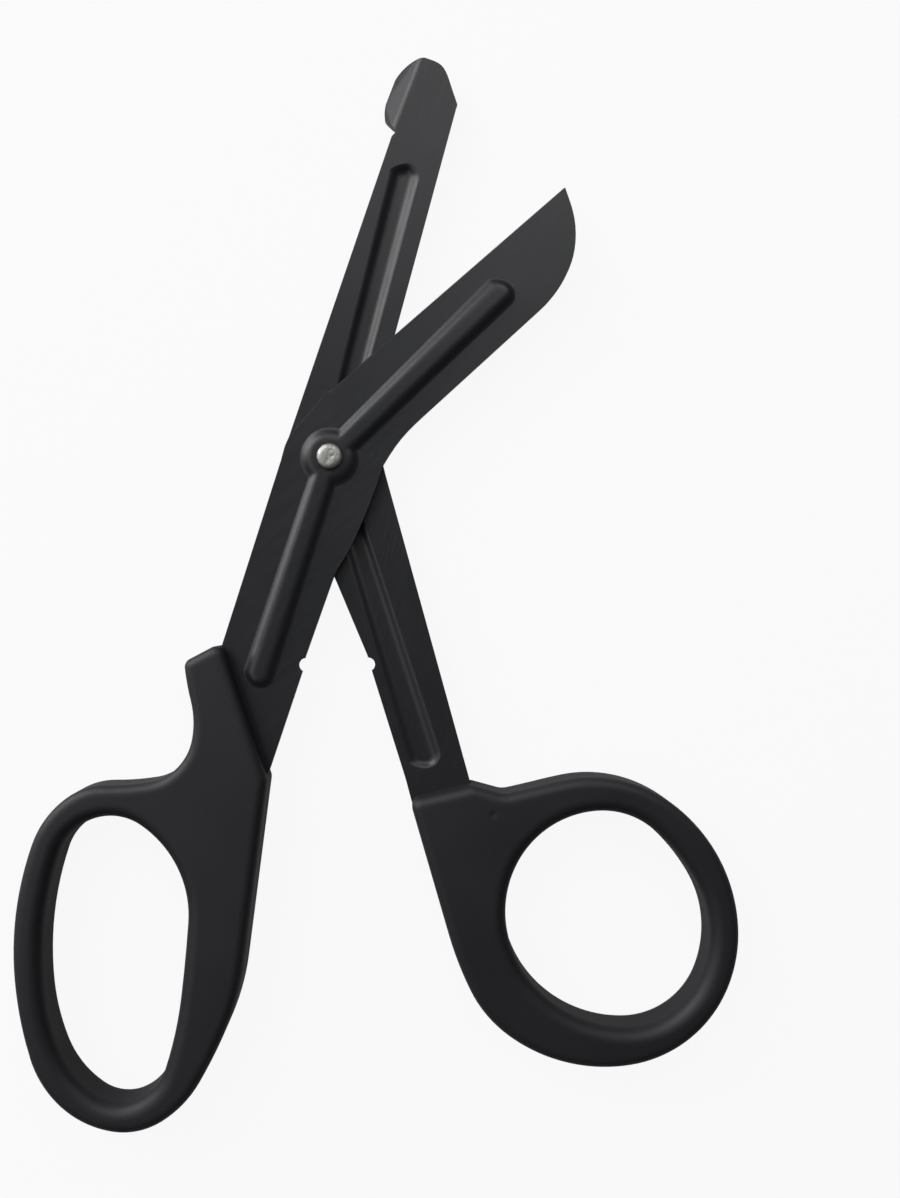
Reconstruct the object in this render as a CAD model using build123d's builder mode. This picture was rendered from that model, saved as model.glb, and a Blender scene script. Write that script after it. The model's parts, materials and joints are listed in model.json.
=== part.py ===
from build123d import *
import math
import os

os.makedirs("parts", exist_ok=True)

# Bandage scissors lying open on a table, in millimetres, with +Z up and +Y towards the tips.
# Each half is drawn as if the scissors were closed: the rivet at 0, 0, the blades up the
# page and the bows meeting below. Its frame is then turned about the rivet to where it lies.

# How the halves lie: the rivet from the middle of the footprint, and each half's turn
pivot_x = -7.96
pivot_y = 22.82
cutting_half_turn = -10.0
probe_half_turn = 13.5

# Sheet steel halves, one above the other
sheet = 1.3
blade_gap = 0.1
bow_height = 9.0
parting_height = bow_height / 2
cutting_inner = parting_height + blade_gap / 2
cutting_outer = cutting_inner + sheet
probe_inner = parting_height - blade_gap / 2
probe_outer = probe_inner - sheet

# Cutting half's outline: the edge, the shoulder past the rivet, the tang and the blade's back
cutting_tip = (31.6, 52.9)
cutting_heel = (-2.3, 11.1)
cutting_shoulder = [(-7.0, 3.2), (-7.95, 0.6), (-8.2, -2.0)]
cutting_tang = [
    (-13.2, -39.0),
    (-8.2, -60.0),
    (-7.7, -82.0),
    (-3.2, -82.0),
    (-3.0, -59.5),
    (-0.95, -55.0),
    (1.75, -36.9),
    (1.8, -34.5),
    (4.1, -20.7),
]
cutting_throat = [(5.6, -16.3), (7.25, -10.6), (9.2, 0.2)]
cutting_back = [(11.4, 5.2), (14.5, 9.75), (31.2, 31.4)]
cutting_belly = [(34.0, 36.3), (35.2, 41.9), (34.35, 47.4)]
cutting_notch = (2.1, -35.9)

# Probe half's outline: the edge, the nose, the fold line of the shoe, the throat and the tang
probe_heel = (8.6, 5.0)
probe_edge_end = (35.65, 54.5)
probe_nose = [(35.35, 57.8), (34.4, 61.85)]
fold_top = (32.1, 63.6)
fold_foot = (24.3, 52.4)
probe_back = [(23.3, 51.75), (-6.65, 4.5), (-7.8, 0.4)]
probe_throat = [(-6.5, -11.0), (-4.0, -20.9)]
probe_tang_inner = [(-1.75, -34.6), (-1.65, -37.0), (-0.3, -57.0), (-0.2, -61.0)]
probe_tang_core = [(2.2, -65.0), (2.4, -82.0), (6.9, -82.0), (7.4, -65.0)]
probe_tang_outer = [(10.45, -60.5), (8.6, -5.0)]
probe_notch = (-2.0, -36.2)
notch_radius = 1.2

# Shoe: the flap of the probe half's sheet folded to the back along the fold line
fold_angle = 42.0
fold_inner_radius = 0.5
shoe_run = 3.7
shoe_overrun = 1.0
shoe_rim = [(28.6, 63.7), (24.85, 60.5), (23.2, 56.8)]

# Stamped ribs and the boss round the rivet
stamping_rise = 0.95
rib_flat = 0.7
rib_foot = 2.9
groove_flat = 0.6
groove_foot = 2.5
rib_start = 2.5
boss_flat = 3.0
boss_foot = 5.6
boss_hollow_flat = 2.6
boss_hollow_foot = 5.0
foot_sink = 0.04
skirt = 0.4
cutting_rib_reach = 43.5
cutting_rib_heading = 36.6
cutting_shank_rib_reach = 42.0
cutting_shank_rib_heading = 187.8
probe_rib_reach = 53.5
probe_rib_heading = 28.6
probe_shank_rib_reach = 57.0
probe_shank_rib_heading = 175.6

# Ground cutting edges
bevel_width = 0.3
edge_land = 0.3
bevel_overcut = 0.4

# Rivet
rivet_radius = 1.8
rivet_clearance = 0.03
head_radius = 2.25
head_height = 0.9
head_rim = 0.45
head_gap = 0.05
rear_head_height = 0.95
rear_head_rim = 0.6

# Plastic bows meet along one line, given by two of its points
parting_gap = 0.2
parting_top = (-0.6, -57.0)
parting_foot = (1.0, -91.0)
bow_corner_radius = 1.6
bow_edge_radius = 1.5
hole_edge_radius = 2.1

# Each outline runs through stations: a point, and the heading there in degrees from +Y to +X
finger_end_top = (-12.55, -34.4)
finger_end_foot = -56.2
finger_parting_foot = -88.0
finger_ring = [
    ((-3.2, -108.8), -160),
    ((-16.3, -119.5), -91),
    ((-32.3, -109.6), -27),
    ((-39.0, -83.9), -1),
    ((-33.9, -65.1), 44),
    ((-20.5, -60.0), 71),
    ((-14.6, -51.5), 0),
    ((-18.2, -38.8), -15),
]
finger_hole = [
    ((-20.6, -67.6), 115),
    ((-9.9, -82.5), 174),
    ((-9.4, -107.8), -172),
    ((-20.3, -114.4), -66),
    ((-32.0, -98.4), -16),
]
thumb_end = -60.2
thumb_end_width = 10.6
thumb_parting_foot = -84.0
thumb_ring = [
    ((6.5, -102.8), 140),
    ((44.5, -104.1), 37),
    ((48.8, -83.2), -12),
    ((31.8, -63.9), -74),
    ((20.5, -63.0), -91),
]
thumb_hole = [
    ((30.4, -69.5), 100),
    ((43.7, -84.5), 163),
    ((26.8, -106.6), -77),
    ((10.7, -88.9), -7),
]
thumb_shoulder = (15.6, -62.95)
thumb_shoulder_radius = 4.0

# Mark that the moulding gate leaves on the thumb bow's face
gate_mark = (12.8, -65.6)
gate_mark_radius = 0.45
gate_mark_depth = 0.15


def half_plane(turn, height):
    """One half's closed frame, turned about the rivet, at a height above the table."""
    across = (math.cos(math.radians(turn)), math.sin(math.radians(turn)), 0)
    return Plane(origin=(pivot_x, pivot_y, height), x_dir=across, z_dir=(0, 0, 1))


def section_plane(turn, start, heading, height, outward):
    """A plane across a straight feature: its Y axis is outward, its normal the way it runs.

    The heading is in degrees from the half's Y axis towards its X axis.
    """
    origin = half_plane(turn, height).from_local_coords(Vector(start[0], start[1], 0))
    run_angle = math.radians(90 - heading + turn)
    run = Vector(math.cos(run_angle), math.sin(run_angle), 0)
    up = Vector(0, 0, outward)
    return Plane(origin=origin, x_dir=up.cross(run), z_dir=run)


def heading_between(start, end):
    """The heading of a straight line, in degrees from the half's Y axis towards its X axis."""
    return math.degrees(math.atan2(end[0] - start[0], end[1] - start[1]))


def heading_vector(heading):
    """The unit vector of a heading."""
    return Vector(math.sin(math.radians(heading)), math.cos(math.radians(heading)), 0)


def smooth_run(stations):
    """A smooth line through stations, by two tangent arcs from each to the next.

    The arcs meet at the middle of a line whose ends lie an equal arm along both headings.
    """
    with BuildLine() as run:
        for (start, start_heading), (end, end_heading) in zip(stations, stations[1:]):
            leave = heading_vector(start_heading)
            arrive = heading_vector(end_heading)
            chord = Vector(*end) - Vector(*start)
            along = chord.dot(leave + arrive)
            spread = 2 * (1 - leave.dot(arrive))
            arm = (math.sqrt(along**2 + spread * chord.dot(chord)) - along) / spread
            meeting = (Vector(*start) + Vector(*end) + (leave - arrive) * arm) * 0.5
            first = TangentArc(start, meeting, tangent=leave)
            TangentArc(meeting, end, tangent=first % 1)
    return run.line


def stamped_rise(flat, foot):
    """Half of a stamped section: flat crown, then an S of two equal arcs down to its foot."""
    low = -foot_sink
    middle = (flat + foot) / 2
    with BuildLine() as half_section:
        crown = Line((0, stamping_rise), (flat, stamping_rise))
        shoulder = TangentArc(crown @ 1, (middle, (stamping_rise + low) / 2), tangent=(1, 0))
        toe = TangentArc(shoulder @ 1, (foot, low), tangent=shoulder % 1)
        Polyline(toe @ 1, (foot, -skirt), (0, -skirt), crown @ 0)
    return half_section.line


def stamped_rib(turn, heading, reach, flat, foot, height, outward):
    """A rib from under the boss to its round end, reach from the rivet, on one face."""
    run = reach - rib_start - foot
    start = heading_vector(heading) * rib_start
    across = section_plane(turn, (start.X, start.Y), heading, height, outward)
    end = across.offset(run)
    with BuildPart() as rib:
        with BuildSketch(across):
            with BuildLine():
                add(stamped_rise(flat, foot))
            make_face()
            mirror(about=Plane.YZ)
        extrude(amount=run)
        with BuildSketch(end):
            with BuildLine():
                add(stamped_rise(flat, foot))
            make_face()
        revolve(axis=Axis(end.origin, (0, 0, 1)), revolution_arc=360)
    return rib.part


def stamped_boss(turn, flat, foot, height, outward):
    """The round boss about the rivet, on one face."""
    across = section_plane(turn, (0, 0), 0, height, outward)
    with BuildPart() as boss:
        with BuildSketch(across):
            with BuildLine():
                add(stamped_rise(flat, foot))
            make_face()
        revolve(axis=Axis(across.origin, (0, 0, 1)), revolution_arc=360)
    return boss.part


def edge_grind(turn, heel, tip, height, outward):
    """The wedge that grinding takes off the outer face along a straight cutting edge.

    The section plane's X axis points away from the blade on both halves.
    """
    depth = sheet - edge_land
    across = section_plane(turn, heel, heading_between(heel, tip), height, outward)
    with BuildPart() as wedge:
        with BuildSketch(across):
            with BuildLine():
                Polyline(
                    (-bevel_width * (1 + bevel_overcut), depth * bevel_overcut),
                    (bevel_width * bevel_overcut, -depth * (1 + bevel_overcut)),
                    (bevel_width * bevel_overcut, depth * bevel_overcut),
                    close=True,
                )
            make_face()
        extrude(amount=math.dist(heel, tip))
    return wedge.part


# Cutting half: the pointed blade, its boss, shank and tang are one stamped sheet
with BuildPart() as cutting_blade:
    with BuildSketch(half_plane(cutting_half_turn, cutting_inner)):
        with BuildLine():
            Polyline(cutting_tip, cutting_heel, cutting_shoulder[0])
            Spline(*cutting_shoulder, tangents=[(-0.54, -0.84), (-0.13, -0.99)])
            Polyline(cutting_shoulder[-1], *cutting_tang)
            Spline(cutting_tang[-1], *cutting_throat, tangents=[(0.16, 0.99), (0.1, 1.0)])
            Spline(cutting_throat[-1], *cutting_back[:2], tangents=[(0.35, 0.94), (0.61, 0.79)])
            Line(*cutting_back[1:])
            Spline(cutting_back[-1], *cutting_belly, cutting_tip, tangents=[(0.61, 0.79), (-0.49, 0.87)])
        make_face()
        with Locations(cutting_notch):
            Circle(notch_radius, mode=Mode.SUBTRACT)
    extrude(amount=sheet)
    add(stamped_boss(cutting_half_turn, boss_flat, boss_foot, cutting_outer, 1))
    for heading, reach in (
        (cutting_rib_heading, cutting_rib_reach),
        (cutting_shank_rib_heading, cutting_shank_rib_reach),
    ):
        add(stamped_rib(cutting_half_turn, heading, reach, rib_flat, rib_foot, cutting_outer, 1))
        groove_reach = reach - rib_foot + groove_foot
        groove = stamped_rib(
            cutting_half_turn, heading, groove_reach, groove_flat, groove_foot, cutting_inner, 1
        )
        add(groove, mode=Mode.SUBTRACT)
    hollow = stamped_boss(cutting_half_turn, boss_hollow_flat, boss_hollow_foot, cutting_inner, 1)
    add(hollow, mode=Mode.SUBTRACT)
    add(edge_grind(cutting_half_turn, cutting_heel, cutting_tip, cutting_outer, 1), mode=Mode.SUBTRACT)
    with BuildSketch(half_plane(cutting_half_turn, cutting_inner)):
        Circle(rivet_radius + rivet_clearance)
    extrude(amount=sheet + stamping_rise, mode=Mode.SUBTRACT)
cutting_blade.part.label = "cutting_blade"
export_step(cutting_blade.part, "parts/cutting_blade.step")


# Probe half: the blunt blade with its shoe folded towards the back, boss, shank and tang
with BuildPart() as shoe:
    fold_heading = heading_between(fold_foot, fold_top)
    fold_plane = section_plane(probe_half_turn, fold_foot, fold_heading, probe_inner, 1)
    bend = math.radians(fold_angle)
    outer_radius = fold_inner_radius + sheet
    slope = Vector(math.cos(bend), -math.sin(bend))
    through = Vector(-math.sin(bend), -math.cos(bend)) * sheet
    bend_end = Vector(outer_radius * math.sin(bend), -outer_radius * (1 - math.cos(bend)))
    with BuildSketch(fold_plane.offset(-shoe_overrun)):
        with BuildLine():
            TangentArc((0, 0), bend_end, tangent=(1, 0))
            flap = Polyline(
                bend_end,
                bend_end + slope * shoe_run,
                bend_end + slope * shoe_run + through,
                bend_end + through,
            )
            TangentArc(flap @ 1, (0, -sheet), tangent=-slope)
            Line((0, -sheet), (0, 0))
        make_face()
    extrude(amount=shoe_overrun + math.dist(fold_foot, fold_top) + shoe_overrun)
    with BuildSketch(half_plane(probe_half_turn, 0)):
        with BuildLine():
            rim = Spline(fold_top, *shoe_rim, fold_foot, tangents=[(-0.8, 0.3), (0.35, -0.94)])
            Line(rim @ 1, rim @ 0)
        make_face()
    extrude(amount=bow_height, mode=Mode.INTERSECT)

with BuildPart() as probe_blade:
    with BuildSketch(half_plane(probe_half_turn, probe_outer)):
        with BuildLine():
            Line(probe_heel, probe_edge_end)
            Spline(probe_edge_end, *probe_nose, fold_top, tangents=[(-0.1, 1.0), (-0.8, 0.5)])
            Polyline(fold_top, fold_foot, *probe_back)
            Spline(probe_back[-1], *probe_throat, tangents=[(0.05, -1.0), (0.16, -0.99)])
            Polyline(
                probe_throat[-1], *probe_tang_inner, *probe_tang_core, *probe_tang_outer, probe_heel
            )
        make_face()
        with Locations(probe_notch):
            Circle(notch_radius, mode=Mode.SUBTRACT)
    extrude(amount=sheet)
    add(shoe.part)
    add(stamped_boss(probe_half_turn, boss_flat, boss_foot, probe_outer, -1))
    for heading, reach in (
        (probe_rib_heading, probe_rib_reach),
        (probe_shank_rib_heading, probe_shank_rib_reach),
    ):
        add(stamped_rib(probe_half_turn, heading, reach, rib_flat, rib_foot, probe_outer, -1))
        groove_reach = reach - rib_foot + groove_foot
        groove = stamped_rib(
            probe_half_turn, heading, groove_reach, groove_flat, groove_foot, probe_inner, -1
        )
        add(groove, mode=Mode.SUBTRACT)
    hollow = stamped_boss(probe_half_turn, boss_hollow_flat, boss_hollow_foot, probe_inner, -1)
    add(hollow, mode=Mode.SUBTRACT)
    add(edge_grind(probe_half_turn, probe_heel, probe_edge_end, probe_outer, -1), mode=Mode.SUBTRACT)
    with BuildSketch(half_plane(probe_half_turn, probe_outer - stamping_rise)):
        Circle(rivet_radius)
    extrude(amount=sheet + stamping_rise, mode=Mode.SUBTRACT)
probe_blade.part.label = "probe_blade"
export_step(probe_blade.part, "parts/probe_blade.step")


# Rivet: a low domed head in front, a flatter one behind
with BuildPart() as pivot_rivet:
    front_seat = cutting_outer + stamping_rise + head_gap
    rear_seat = probe_outer - stamping_rise
    with BuildSketch(Plane(origin=(pivot_x, pivot_y, 0), x_dir=(1, 0, 0), z_dir=(0, -1, 0))):
        with BuildLine():
            rear = TangentArc(
                (0, rear_seat - rear_head_height), (head_radius, rear_seat - rear_head_rim), tangent=(1, 0)
            )
            body = Polyline(
                rear @ 1,
                (head_radius, rear_seat),
                (rivet_radius, rear_seat),
                (rivet_radius, front_seat),
                (head_radius, front_seat),
                (head_radius, front_seat + head_rim),
            )
            front = TangentArc((0, front_seat + head_height), body @ 1, tangent=(1, 0))
            Line(front @ 0, rear @ 0)
        make_face()
    revolve(axis=Axis((pivot_x, pivot_y, 0), (0, 0, 1)), revolution_arc=360)
pivot_rivet.part.label = "pivot_rivet"
export_step(pivot_rivet.part, "parts/pivot_rivet.step")


def parting_point(y, side):
    """A point of one bow's parting edge: side is -1 for the finger bow and 1 for the thumb bow."""
    share = (parting_top[1] - y) / (parting_top[1] - parting_foot[1])
    x = parting_top[0] + share * (parting_foot[0] - parting_top[0])
    return (x + side * parting_gap / 2, y)


def corners(outline, points):
    """The corners of an outline that lie at the given points."""
    return [outline.vertices().sort_by_distance(point)[0] for point in points]


def rims(edges):
    """Those of the edges that lie in the lowest and the highest plane."""
    by_height = edges.group_by(Axis.Z)
    return by_height[0] + by_height[-1]


parting_heading = heading_between(parting_top, parting_foot)

# Finger bow: a long oval loop moulded over the cutting half's tang
with BuildPart() as finger_bow:
    with BuildSketch(half_plane(cutting_half_turn, 0)) as finger_outline:
        finger_foot = parting_point(finger_end_foot, -1)
        finger_turn = parting_point(finger_parting_foot, -1)
        with BuildLine():
            Polyline(finger_ring[-1][0], finger_end_top, finger_foot, finger_turn)
            add(smooth_run([(finger_turn, parting_heading)] + finger_ring))
        make_face()
        fillet(corners(finger_outline, (finger_ring[-1][0], finger_end_top, finger_foot)), bow_corner_radius)
    extrude(amount=bow_height)
    fillet(rims(finger_bow.edges()), bow_edge_radius)
    with BuildSketch(half_plane(cutting_half_turn, 0)):
        with BuildLine():
            add(smooth_run(finger_hole + finger_hole[:1]))
        make_face()
    extrude(amount=bow_height, mode=Mode.SUBTRACT)
    fillet(rims(finger_bow.edges(Select.LAST)), hole_edge_radius)
    add(cutting_blade.part, mode=Mode.SUBTRACT)
finger_bow.part.label = "finger_bow"
export_step(finger_bow.part, "parts/finger_bow.step")


# Thumb bow: a rounder loop moulded over the probe half's tang
with BuildPart() as thumb_bow:
    with BuildSketch(half_plane(probe_half_turn, 0)) as thumb_outline:
        thumb_head = parting_point(thumb_end, 1)
        thumb_corner = (thumb_end_width, thumb_end)
        thumb_turn = parting_point(thumb_parting_foot, 1)
        with BuildLine():
            Polyline(thumb_ring[-1][0], thumb_shoulder, thumb_corner, thumb_head, thumb_turn)
            add(smooth_run([(thumb_turn, parting_heading)] + thumb_ring))
        make_face()
        fillet(corners(thumb_outline, (thumb_corner, thumb_head)), bow_corner_radius)
        fillet(corners(thumb_outline, (thumb_shoulder,)), thumb_shoulder_radius)
    extrude(amount=bow_height)
    fillet(rims(thumb_bow.edges()), bow_edge_radius)
    with BuildSketch(half_plane(probe_half_turn, 0)):
        with BuildLine():
            add(smooth_run(thumb_hole + thumb_hole[:1]))
        make_face()
    extrude(amount=bow_height, mode=Mode.SUBTRACT)
    fillet(rims(thumb_bow.edges(Select.LAST)), hole_edge_radius)
    with BuildSketch(half_plane(probe_half_turn, bow_height - gate_mark_depth)):
        with Locations(gate_mark):
            Circle(gate_mark_radius)
    extrude(amount=gate_mark_depth, mode=Mode.SUBTRACT)
    add(probe_blade.part, mode=Mode.SUBTRACT)
thumb_bow.part.label = "thumb_bow"
export_step(thumb_bow.part, "parts/thumb_bow.step")
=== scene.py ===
import json
import math

import bmesh
import bpy
import numpy as np
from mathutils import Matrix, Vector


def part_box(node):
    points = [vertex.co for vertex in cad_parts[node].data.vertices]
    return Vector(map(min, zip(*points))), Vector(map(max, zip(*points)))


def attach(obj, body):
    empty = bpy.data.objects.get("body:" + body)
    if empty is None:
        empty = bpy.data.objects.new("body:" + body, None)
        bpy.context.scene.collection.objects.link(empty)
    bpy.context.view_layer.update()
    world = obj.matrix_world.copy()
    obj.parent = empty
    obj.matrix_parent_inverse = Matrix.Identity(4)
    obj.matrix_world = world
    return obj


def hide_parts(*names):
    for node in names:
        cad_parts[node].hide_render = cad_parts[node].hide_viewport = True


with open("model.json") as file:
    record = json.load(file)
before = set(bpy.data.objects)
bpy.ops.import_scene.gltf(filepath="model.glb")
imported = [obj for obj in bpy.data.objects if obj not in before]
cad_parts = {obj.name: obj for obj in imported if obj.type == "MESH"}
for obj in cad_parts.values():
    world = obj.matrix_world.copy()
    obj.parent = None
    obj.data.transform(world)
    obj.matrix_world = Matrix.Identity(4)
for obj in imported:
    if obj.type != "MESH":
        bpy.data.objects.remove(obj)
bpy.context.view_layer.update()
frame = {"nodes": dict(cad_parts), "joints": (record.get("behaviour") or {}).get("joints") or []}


# The stage: a matt pale card, seen from straight above. A long window low on the left rakes over the
# stamped ribs, with a key box and a soft box over it. Another soft box beyond the blade tips lights
# the flats. The rest of the room is dim, so that black surfaces turned away stay black.

def srgb(code):
    """A hex colour as written on screen, turned to the linear values that the shaders use."""
    parts = [int(code[i:i + 2], 16) / 255 for i in (1, 3, 5)]
    return tuple(c / 12.92 if c <= 0.04045 else ((c + 0.055) / 1.055) ** 2.4 for c in parts) + (1.0,)


def node(tree, kind, settings=None, links=None, **properties):
    """Adds one shader node: its properties, its sockets' values, and links from other sockets."""
    made = tree.nodes.new(kind)
    for name, value in properties.items():
        setattr(made, name, value)
    for socket, value in (settings or {}).items():
        made.inputs[socket].default_value = value
    for socket, source in (links or {}).items():
        tree.links.new(source, made.inputs[socket])
    return made


def blank_material(name):
    """An empty node material and its node tree."""
    material = bpy.data.materials.new(name)
    material.use_nodes = True
    material.node_tree.nodes.clear()
    return material, material.node_tree


def soft_light(name, heading, off_vertical, distance, width, height, watts):
    """A rectangular area lamp that faces the scissors.

    Its place is given as a heading from +Y towards +X and an angle from straight above, in
    degrees, and a distance. At heading 0 the lamp's width runs along X.
    """
    lamp = bpy.data.lights.new(name, "AREA")
    lamp.shape = "RECTANGLE"
    lamp.size = width
    lamp.size_y = height
    lamp.energy = watts
    holder = bpy.data.objects.new(name, lamp)
    bpy.context.scene.collection.objects.link(holder)
    turn = math.radians(heading)
    lean = math.radians(off_vertical)
    across = distance * math.sin(lean)
    holder.location = (across * math.sin(turn), across * math.cos(turn), distance * math.cos(lean))
    holder.rotation_euler = (-lean, 0, -turn)


table_half = 2.5
card_light_to_camera = 0.92
card_light_to_gloss = 0.15
room_level = 0.06

table_mesh = bpy.data.meshes.new("table_top")
table_corners = [(x * table_half, y * table_half, 0) for x, y in ((-1, -1), (1, -1), (1, 1), (-1, 1))]
table_mesh.from_pydata(table_corners, [], [(0, 1, 2, 3)])
table = bpy.data.objects.new("table_top", table_mesh)
bpy.context.scene.collection.objects.link(table)

# Matt pale card: to the camera most of its brightness is its own, so that only a faint shadow
# shows on it. Gloss on the scissors mirrors it less bright, as on the photograph's hole walls
card, tree = blank_material("matt_pale_card")
rays = node(tree, "ShaderNodeLightPath")
to_camera = node(
    tree, "ShaderNodeMath", {1: card_light_to_camera}, {0: rays.outputs["Is Camera Ray"]},
    operation="MULTIPLY",
)
to_gloss = node(
    tree, "ShaderNodeMath", {1: card_light_to_gloss}, {0: rays.outputs["Is Glossy Ray"]},
    operation="MULTIPLY",
)
share = node(
    tree, "ShaderNodeMath", links={0: to_camera.outputs[0], 1: to_gloss.outputs[0]}, operation="MAXIMUM"
)
matt = node(tree, "ShaderNodeBsdfDiffuse", {"Color": srgb("#b4b4b4")})
glow = node(tree, "ShaderNodeEmission", {"Color": (1, 1, 1, 1), "Strength": 1.0})
mixed = node(
    tree, "ShaderNodeMixShader", links={0: share.outputs[0], 1: matt.outputs[0], 2: glow.outputs[0]}
)
node(tree, "ShaderNodeOutputMaterial", links={"Surface": mixed.outputs[0]})
table_mesh.materials.append(card)

world = bpy.data.worlds.new("dim_room")
world.use_nodes = True
world.node_tree.nodes.clear()
tree = world.node_tree
rays = node(tree, "ShaderNodeLightPath")
level = node(
    tree, "ShaderNodeMapRange", {"To Min": room_level, "To Max": 1.0},
    {"Value": rays.outputs["Is Camera Ray"]},
)
sky = node(tree, "ShaderNodeBackground", {"Color": (1, 1, 1, 1)}, {"Strength": level.outputs[0]})
node(tree, "ShaderNodeOutputWorld", links={"Surface": sky.outputs[0]})
bpy.context.scene.world = world

lamp_distance = 0.85
soft_light("low_left_window", -58, 78, lamp_distance, width=0.7, height=0.3, watts=4.6)
soft_light("left_key_box", -47, 55, lamp_distance, width=0.5, height=0.4, watts=4.2)
soft_light("far_soft_box", 18, 40, lamp_distance, width=0.7, height=0.6, watts=3.1)
soft_light("left_soft_box", -100, 38, lamp_distance, width=0.6, height=0.5, watts=1.2)

# The camera hangs straight over the scissors. picture_height is how much of the pivot's level it
# sees, and its lens axis meets the picture a few rows off the middle
pivot = frame["joints"][0]["pos_m"]
camera_right_of_pivot = 0.013238
camera_below_pivot = 0.026238
camera_height = 0.1889
picture_height = 0.20725
picture_rows = 1198
axis_off_middle_across = 43
axis_off_middle_up = 11
camera_data = bpy.data.cameras.new("overhead")
camera_data.sensor_fit = "VERTICAL"
camera_data.sensor_height = 24.0
camera_data.lens = camera_data.sensor_height * (camera_height - pivot[2]) / picture_height
camera_data.shift_x = axis_off_middle_across / picture_rows
camera_data.shift_y = axis_off_middle_up / picture_rows
camera_data.clip_start = 0.01
camera = bpy.data.objects.new("overhead", camera_data)
camera.location = (
    pivot[0] + camera_right_of_pivot,
    pivot[1] - camera_below_pivot,
    camera_height,
)
bpy.context.scene.collection.objects.link(camera)
bpy.context.scene.camera = camera
bpy.context.scene.view_settings.view_transform = "Standard"


# Cutting blade: one stamped stainless sheet with its pointed blade, boss, ribs and shank. It is tumbled
# to a satin, then given a thin black coating, which covers the ground edge too.

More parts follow.
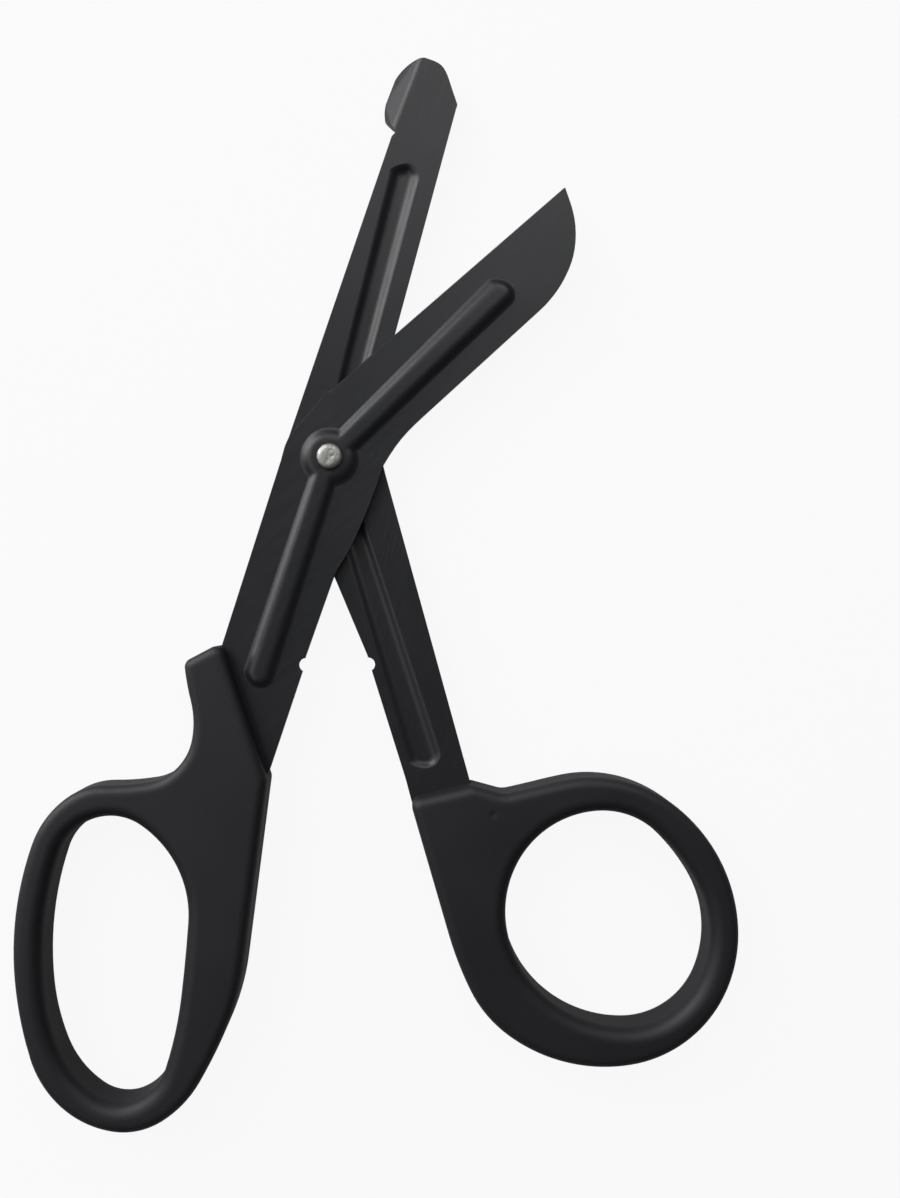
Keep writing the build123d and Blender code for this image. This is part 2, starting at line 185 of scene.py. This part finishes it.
def black_coated_sheet(name, blade_heading, low_face, high_face, stamped_below):
    """Satin stainless sheet under a thin black non-stick coating.

    The sheet's rolling grain runs along the blade and shows through the coating as faint
    streaks of gloss. The coat is a little thicker in some patches, and rubbed on sharp rims.
    It fills the foot and rounds the shoulder of every stamped rib, so away from the sheet's
    two flat faces its corners are shaded much rounder than at the cut rims. Further up the
    blade than stamped_below, in metres along Y, the sheet is folded crisply, not stamped.
    The heading is in degrees from +Y towards +X.
    """
    grain_width = 0.00035  # real grain is about 0.05 mm; drawn coarser, or it wouldn't show
    grain_length = 0.006
    patch_size = 0.011
    speck_size = 0.0005  # tumbling marks, real ones about 0.1 mm
    rim_radius = 0.00006
    stamped_radius = 0.0009
    flat_within = 0.00001
    stamped_beyond = 0.00015
    least_upright = 0.5  # a face whose normal rises less than this is a cut wall
    rim_starts = 0.995  # how far the rounded normal agrees with the true one
    rim_is_full = 0.9

    coat, tree = blank_material(name)
    place = node(tree, "ShaderNodeTexCoord").outputs["Object"]
    along = node(
        tree, "ShaderNodeMapping",
        {
            "Rotation": (0, 0, -math.radians(blade_heading)),
            "Scale": (grain_width, grain_length, grain_width),
        },
        {"Vector": place}, vector_type="TEXTURE",
    )
    grain = node(tree, "ShaderNodeTexNoise", {"Scale": 1.0, "Detail": 2.0}, {"Vector": along.outputs[0]})
    patches = node(
        tree, "ShaderNodeTexNoise", {"Scale": 1 / patch_size, "Detail": 2.0, "Roughness": 0.4},
        {"Vector": place},
    )
    specks = node(
        tree, "ShaderNodeTexNoise", {"Scale": 1 / speck_size, "Detail": 3.0, "Roughness": 0.6},
        {"Vector": place},
    )

    # How far a point is from the nearer flat face: nothing on the flats, much on a rib's side
    point = node(tree, "ShaderNodeSeparateXYZ", links={0: place})
    off_faces = []
    for face in (low_face, high_face):
        above = node(tree, "ShaderNodeMath", {1: face}, {0: point.outputs["Z"]}, operation="SUBTRACT")
        off_faces.append(node(tree, "ShaderNodeMath", links={0: above.outputs[0]}, operation="ABSOLUTE"))
    off_flat = node(
        tree, "ShaderNodeMath", links={0: off_faces[0].outputs[0], 1: off_faces[1].outputs[0]},
        operation="MINIMUM",
    )
    surface = node(tree, "ShaderNodeNewGeometry")
    facing = node(tree, "ShaderNodeSeparateXYZ", links={0: surface.outputs["True Normal"]})
    upright = node(tree, "ShaderNodeMath", links={0: facing.outputs["Z"]}, operation="ABSOLUTE")
    no_cut_wall = node(
        tree, "ShaderNodeMath", {1: least_upright}, {0: upright.outputs[0]}, operation="GREATER_THAN"
    )
    below_fold = node(
        tree, "ShaderNodeMath", {1: stamped_below}, {0: point.outputs["Y"]}, operation="LESS_THAN"
    )
    may_be_stamped = node(
        tree, "ShaderNodeMath", links={0: below_fold.outputs[0], 1: no_cut_wall.outputs[0]},
        operation="MULTIPLY",
    )
    on_stamping = node(
        tree, "ShaderNodeMath", links={0: off_flat.outputs[0], 1: may_be_stamped.outputs[0]},
        operation="MULTIPLY",
    )
    radius = node(
        tree, "ShaderNodeMapRange",
        {
            "From Min": flat_within, "From Max": stamped_beyond,
            "To Min": rim_radius, "To Max": stamped_radius,
        },
        {"Value": on_stamping.outputs[0]},
    )

    # Rims: where a rounded normal leaves the true one, the coat is thin and slightly lighter
    rounded = node(tree, "ShaderNodeBevel", links={"Radius": radius.outputs[0]}, samples=8)
    agreement = node(
        tree, "ShaderNodeVectorMath", links={0: surface.outputs["Normal"], 1: rounded.outputs[0]},
        operation="DOT_PRODUCT",
    )
    rim = node(
        tree, "ShaderNodeMapRange",
        {"From Min": rim_starts, "From Max": rim_is_full, "To Min": 0.0, "To Max": 1.0},
        {"Value": agreement.outputs["Value"]},
    )
    thick_or_thin = node(
        tree, "ShaderNodeMix", {6: srgb("#191d1c"), 7: srgb("#232027")}, {0: patches.outputs[0]},
        data_type="RGBA",
    )
    colour = node(
        tree, "ShaderNodeMix", {7: srgb("#26282a")}, {0: rim.outputs[0], 6: thick_or_thin.outputs[2]},
        data_type="RGBA",
    )
    gloss = node(
        tree, "ShaderNodeMapRange", {"From Min": 0.3, "From Max": 0.7, "To Min": 0.34, "To Max": 0.42},
        {"Value": grain.outputs[0]},
    )
    relief = node(
        tree, "ShaderNodeBump", {"Strength": 0.25, "Distance": 0.00002},
        {"Height": specks.outputs[0], "Normal": rounded.outputs[0]},
    )
    skin = node(
        tree, "ShaderNodeBsdfPrincipled", {"IOR": 1.4},
        {"Base Color": colour.outputs[2], "Roughness": gloss.outputs[0], "Normal": relief.outputs[0]},
    )
    node(tree, "ShaderNodeOutputMaterial", links={"Surface": skin.outputs[0]})
    return coat


def redrawn_sheet(name, cad, low_face, front_from, ribs):
    """The CAD sheet with its stamped ribs as wide as the press drew them, front and back alike.

    A rib is its heading, how far from the pivot its middle line ends, its old and new widths,
    and a share of its rise. The place u across it (to the right of its heading) goes through
    a line of straight pieces from the old widths to the new, and its height off the sheet's own
    face is multiplied by the share. Both fade in over the first millimetres past the boss, and
    out over the rib's round end, as three times the square less twice the cube of the way gone.
    Points higher than front_from belong to the front of the sheet.
    """
    weld_distance = 1e-6
    least_sharp_turn = 20

    mesh = cad.data.copy()
    mesh.name = name
    welded = bmesh.new()
    welded.from_mesh(mesh)
    bmesh.ops.remove_doubles(welded, verts=welded.verts, dist=weld_distance)
    welded.to_mesh(mesh)
    welded.free()
    places = np.empty(len(mesh.vertices) * 3)
    mesh.vertices.foreach_get("co", places)
    places = places.reshape(-1, 3)
    for heading, end, old_widths, new_widths, share in ribs:
        turn = math.radians(heading)
        across = np.array([math.cos(turn), -math.sin(turn)])
        along = np.array([math.sin(turn), math.cos(turn)])
        from_pivot = places[:, :2] - np.array(pivot[:2])
        u = from_pivot @ across
        v = from_pivot @ along
        off_line = np.hypot(u, v - np.clip(v, 0, end))
        fade_in = np.clip((v - rib_fade_start) / rib_fade_run, 0, 1)
        fade_out = np.clip((end + rib_reach_across - v) / rib_end_run, 0, 1)
        blend = np.minimum(fade_in, fade_out)
        blend = blend * blend * (3 - 2 * blend) * (off_line < rib_reach_across)
        moved = np.interp(u, old_widths, new_widths) - u
        places[:, :2] += (blend * moved)[:, None] * across
        own_face = np.where(places[:, 2] > front_from, low_face + sheet_thickness, low_face)
        places[:, 2] += blend * (share - 1) * (places[:, 2] - own_face)
    mesh.vertices.foreach_set("co", places.ravel())
    mesh.shade_smooth()
    mesh.set_sharp_from_angle(angle=math.radians(least_sharp_turn))
    piece = bpy.data.objects.new(name, mesh)
    bpy.context.scene.collection.objects.link(piece)
    true_flats = piece.modifiers.new("flat_faces_keep_their_normals", "WEIGHTED_NORMAL")
    true_flats.keep_sharp = True
    true_flats.weight = 100
    return piece


sheet_thickness = 0.0013
blade_gap = 0.0001
face_tolerance = 0.00002
no_fold = 1.0  # a metre up the blade, far past its tip
rib_fade_start = 0.004
rib_fade_run = 0.005
rib_reach_across = 0.00295
rib_end_run = 0.0035
full_rise = 1.0
cutting_blade_heading = 46.6
cutting_blade_rib_end = 0.0406
cutting_shank_heading = 197.8
cutting_shank_rib_end = 0.0391
cutting_shank_rise = 0.85
cutting_rib_widths = (-0.0029, -0.0007, 0.0007, 0.0029)
cutting_blade_drawn_widths = (-0.0041, -0.0014, 0.0002, 0.0029)
cutting_shank_drawn_widths = (-0.0029, -0.0006, 0.0009, 0.0035)
cutting_low_face = pivot[2] + blade_gap / 2
cutting_high_face = cutting_low_face + sheet_thickness
cutting_sheet = redrawn_sheet(
    "stamped_cutting_sheet", frame["nodes"]["cutting_blade"],
    cutting_low_face, cutting_high_face - face_tolerance,
    [
        (
            cutting_blade_heading, cutting_blade_rib_end,
            cutting_rib_widths, cutting_blade_drawn_widths, full_rise,
        ),
        (
            cutting_shank_heading, cutting_shank_rib_end,
            cutting_rib_widths, cutting_shank_drawn_widths, cutting_shank_rise,
        ),
    ],
)
cutting_sheet.data.materials.clear()
cutting_sheet.data.materials.append(
    black_coated_sheet(
        "satin_black_coated_cutting_sheet", cutting_blade_heading,
        cutting_low_face, cutting_high_face, no_fold,
    )
)
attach(cutting_sheet, "finger_half")
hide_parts("cutting_blade")


# Probe blade: the rear half's sheet of the same steel and coating, stamped the other way up, so its
# ribs show as grooves. Its tip is folded to the back as a blunt shoe.

probe_blade_heading = 15.1
probe_blade_rib_end = 0.0506
probe_shank_heading = 162.1
probe_shank_rib_end = 0.0541
probe_shank_rise = 0.6
probe_rib_widths = (-0.0029, -0.0025, -0.0006, 0.0006, 0.0025, 0.0029)
probe_blade_drawn_widths = (-0.0043, -0.0039, -0.0006, -0.0002, 0.0029, 0.0033)
probe_shank_drawn_widths = (-0.0035, -0.0031, -0.0004, 0.0010, 0.0042, 0.0046)
probe_high_face = pivot[2] - blade_gap / 2
probe_low_face = probe_high_face - sheet_thickness
probe_fold_start = 0.077
probe_sheet = redrawn_sheet(
    "stamped_probe_sheet", frame["nodes"]["probe_blade"],
    probe_low_face, probe_low_face + face_tolerance,
    [
        (
            probe_blade_heading, probe_blade_rib_end,
            probe_rib_widths, probe_blade_drawn_widths, full_rise,
        ),
        (
            probe_shank_heading, probe_shank_rib_end,
            probe_rib_widths, probe_shank_drawn_widths, probe_shank_rise,
        ),
    ],
)
probe_sheet.data.materials.clear()
probe_sheet.data.materials.append(
    black_coated_sheet(
        "satin_black_coated_probe_sheet", probe_blade_heading,
        probe_low_face, probe_high_face, probe_fold_start,
    )
)
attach(probe_sheet, "thumb_half")
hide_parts("probe_blade")


# Finger bow: a long oval loop of black polypropylene, injection moulded over the cutting half's tang.
# The mould was spark eroded, and its two plates leave a fine line half way up the walls.

def moulded_polypropylene(name):
    """Black polypropylene from a spark-eroded mould: an even, fine matt texture and a soft sheen.

    The gloss drifts over a centimetre or two as the melt cooled, and a thin line runs round
    the walls at the height where the mould's plates met.
    """
    spark_size = 0.0004  # real pits are about 0.1 mm; drawn coarser, or they wouldn't show
    drift_size = 0.014
    plate_line_half = 0.00009
    mould_radius = 0.0012  # hand polishing of the mould blends its rounds softly into its flats

    resin, tree = blank_material(name)
    place = node(tree, "ShaderNodeTexCoord").outputs["Object"]
    sparks = node(
        tree, "ShaderNodeTexNoise", {"Scale": 1 / spark_size, "Detail": 2.0, "Roughness": 0.5},
        {"Vector": place},
    )
    drift = node(
        tree, "ShaderNodeTexNoise", {"Scale": 1 / drift_size, "Detail": 1.5},
        {"Vector": place},
    )
    point = node(tree, "ShaderNodeSeparateXYZ", links={0: place})
    off_line = node(tree, "ShaderNodeMath", {1: pivot[2]}, {0: point.outputs["Z"]}, operation="SUBTRACT")
    distance = node(tree, "ShaderNodeMath", links={0: off_line.outputs[0]}, operation="ABSOLUTE")
    plate_line = node(
        tree, "ShaderNodeMapRange",
        {"From Min": plate_line_half, "From Max": 0.0, "To Min": 0.0, "To Max": 1.0},
        {"Value": distance.outputs[0]},
    )
    rounded = node(tree, "ShaderNodeBevel", {"Radius": mould_radius}, samples=8)
    spark_relief = node(
        tree, "ShaderNodeBump", {"Strength": 0.35, "Distance": 0.00003},
        {"Height": sparks.outputs[0], "Normal": rounded.outputs[0]},
    )
    relief = node(
        tree, "ShaderNodeBump", {"Strength": 0.6, "Distance": 0.00006},
        {"Height": plate_line.outputs[0], "Normal": spark_relief.outputs[0]},
    )
    colour = node(
        tree, "ShaderNodeMix", {6: srgb("#100f15"), 7: srgb("#16161b")}, {0: drift.outputs[0]},
        data_type="RGBA",
    )
    gloss = node(
        tree, "ShaderNodeMapRange", {"From Min": 0.3, "From Max": 0.7, "To Min": 0.54, "To Max": 0.62},
        {"Value": drift.outputs[0]},
    )
    skin = node(
        tree, "ShaderNodeBsdfPrincipled", {"IOR": 1.45},
        {"Base Color": colour.outputs[2], "Roughness": gloss.outputs[0], "Normal": relief.outputs[0]},
    )
    node(tree, "ShaderNodeOutputMaterial", links={"Surface": skin.outputs[0]})
    return resin


black_polypropylene = moulded_polypropylene("moulded_black_polypropylene")
finger_bow = frame["nodes"]["finger_bow"]
finger_bow.data.materials.clear()
finger_bow.data.materials.append(black_polypropylene)


# Thumb bow: a rounder loop of the same polypropylene, moulded over the probe half's tang.

thumb_bow = frame["nodes"]["thumb_bow"]
thumb_bow.data.materials.clear()
thumb_bow.data.materials.append(black_polypropylene)


# Pivot rivet: a bare steel rivet whose shank passes both halves. Its front head was closed with a
# hammer tool, which left the head low, nearly flat and full of shallow dents.

def dented_face(radii, angles, height, rim_drop, flatness, dents):
    """Height above the seat of a low head at polar points.

    A dome that falls to its rim by rim_drop times a power, flatness, of the share of the radius,
    less one smooth pit for each dent: its place across and along, its width, its depth, and
    the share of it that is a ring. A pit and a ring each fall off as a bell curve, the ring
    over a smaller part of the width.
    """
    ring_sharpness = 5

    across = radii * np.cos(angles)
    along = radii * np.sin(angles)
    face = height - rim_drop * (radii / radii.max()) ** flatness
    for x, y, width, depth, ring in dents:
        reach = np.hypot(across - x, along - y) / width
        pit = np.exp(-reach**2)
        moat = np.exp(-((reach - 1) ** 2) * ring_sharpness)
        face = face - depth * ((1 - ring) * pit + ring * moat)
    return face


rivet_low, rivet_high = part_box("pivot_rivet")
rear_head_radius = (rivet_high.x - rivet_low.x) / 2
front_head_radius = 0.00215
shank_radius = 0.0018
front_head_height = 0.0009
rear_head_height = 0.00095
rim_drop = 0.00045
front_flatness = 6
rear_flatness = 3
dent_field = 0.0018
dent_count = 26
turns = 128
face_rings = 40
ring_crowding = 0.8  # below one, the rings lie closer together towards the rim

angles = np.linspace(0, 2 * math.pi, turns, endpoint=False)[None, :]
random = np.random.default_rng(12)
small_dents = [
    (
        random.uniform(-dent_field, dent_field), random.uniform(-dent_field, dent_field),
        random.uniform(0.0002, 0.0005), random.uniform(0.00001, 0.00004), 0.0,
    )
    for count in range(dent_count)
]
ring_dent = (0.0004, 0.0005, 0.0005, 0.00005, 0.8)
wide_dent = (-0.0002, -0.0008, 0.0007, 0.00004, 0.0)
front_dents = small_dents + [ring_dent, wide_dent]
face_shares = np.linspace(0, 1, face_rings + 1)[1:, None] ** ring_crowding
front_radii = face_shares * front_head_radius
rear_radii = face_shares * rear_head_radius
front_face = dented_face(front_radii, angles, front_head_height, rim_drop, front_flatness, front_dents)
rear_face = dented_face(rear_radii, angles, rear_head_height, rim_drop, rear_flatness, [])
front_seat = rivet_high.z - front_head_height
rear_seat = rivet_low.z + rear_head_height

# Rings of points from the middle of the front head, over its rim, down the shank to the rear head
rings = [(front_radii[k], front_seat + front_face[k]) for k in range(face_rings)]
rings += [(front_head_radius, front_seat), (shank_radius, front_seat)]
rings += [(shank_radius, rear_seat), (rear_head_radius, rear_seat)]
rings += [(rear_radii[k], rear_seat - rear_face[k]) for k in reversed(range(face_rings))]
radii = np.array([np.broadcast_to(r, turns) for r, z in rings])
heights = np.array([np.broadcast_to(z, turns) for r, z in rings])
across = pivot[0] + radii * np.cos(angles)
along = pivot[1] + radii * np.sin(angles)
points = np.stack([across, along, heights], axis=-1)
middles = [(pivot[0], pivot[1], front_seat + float(front_face[0].mean()))]
middles += [(pivot[0], pivot[1], rear_seat - float(rear_face[0].mean()))]
points = np.concatenate([points.reshape(-1, 3), np.array(middles)])

ring_count = len(rings)
here = np.arange(ring_count * turns).reshape(ring_count, turns)
beside = np.roll(here, -1, axis=1)
quads = np.stack([here[:-1], here[1:], beside[1:], beside[:-1]], axis=-1).reshape(-1, 4)
front_middle = ring_count * turns
front_fan = [(front_middle, int(a), int(b)) for a, b in zip(here[0], beside[0])]
rear_fan = [(front_middle + 1, int(b), int(a)) for a, b in zip(here[-1], beside[-1])]

rivet_mesh = bpy.data.meshes.new("peened_rivet")
rivet_mesh.from_pydata(points.tolist(), [], quads.tolist() + front_fan + rear_fan)
rivet_mesh.shade_smooth()
rivet = bpy.data.objects.new("peened_rivet", rivet_mesh)
bpy.context.scene.collection.objects.link(rivet)

# Bare steel, hammered: bright where the dents catch the soft boxes, mottled grey elsewhere
mottle_size = 0.0009
fine_size = 0.0003
steel, tree = blank_material("hammered_bare_steel")
place = node(tree, "ShaderNodeTexCoord").outputs["Object"]
mottles = node(
    tree, "ShaderNodeTexNoise", {"Scale": 1 / mottle_size, "Detail": 3.0, "Roughness": 0.6},
    {"Vector": place},
)
fine = node(
    tree, "ShaderNodeTexNoise", {"Scale": 1 / fine_size, "Detail": 2.0}, {"Vector": place}
)
colour = node(
    tree, "ShaderNodeMix", {6: srgb("#727274"), 7: srgb("#b4b4ae")}, {0: mottles.outputs[0]},
    data_type="RGBA",
)
gloss = node(
    tree, "ShaderNodeMapRange", {"From Min": 0.3, "From Max": 0.7, "To Min": 0.46, "To Max": 0.62},
    {"Value": fine.outputs[0]},
)
relief = node(tree, "ShaderNodeBump", {"Strength": 0.7, "Distance": 0.00004}, {"Height": fine.outputs[0]})
skin = node(
    tree, "ShaderNodeBsdfPrincipled", {"Metallic": 1.0},
    {"Base Color": colour.outputs[2], "Roughness": gloss.outputs[0], "Normal": relief.outputs[0]},
)
node(tree, "ShaderNodeOutputMaterial", links={"Surface": skin.outputs[0]})
rivet_mesh.materials.append(steel)
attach(rivet, "thumb_half")
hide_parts("pivot_rivet")
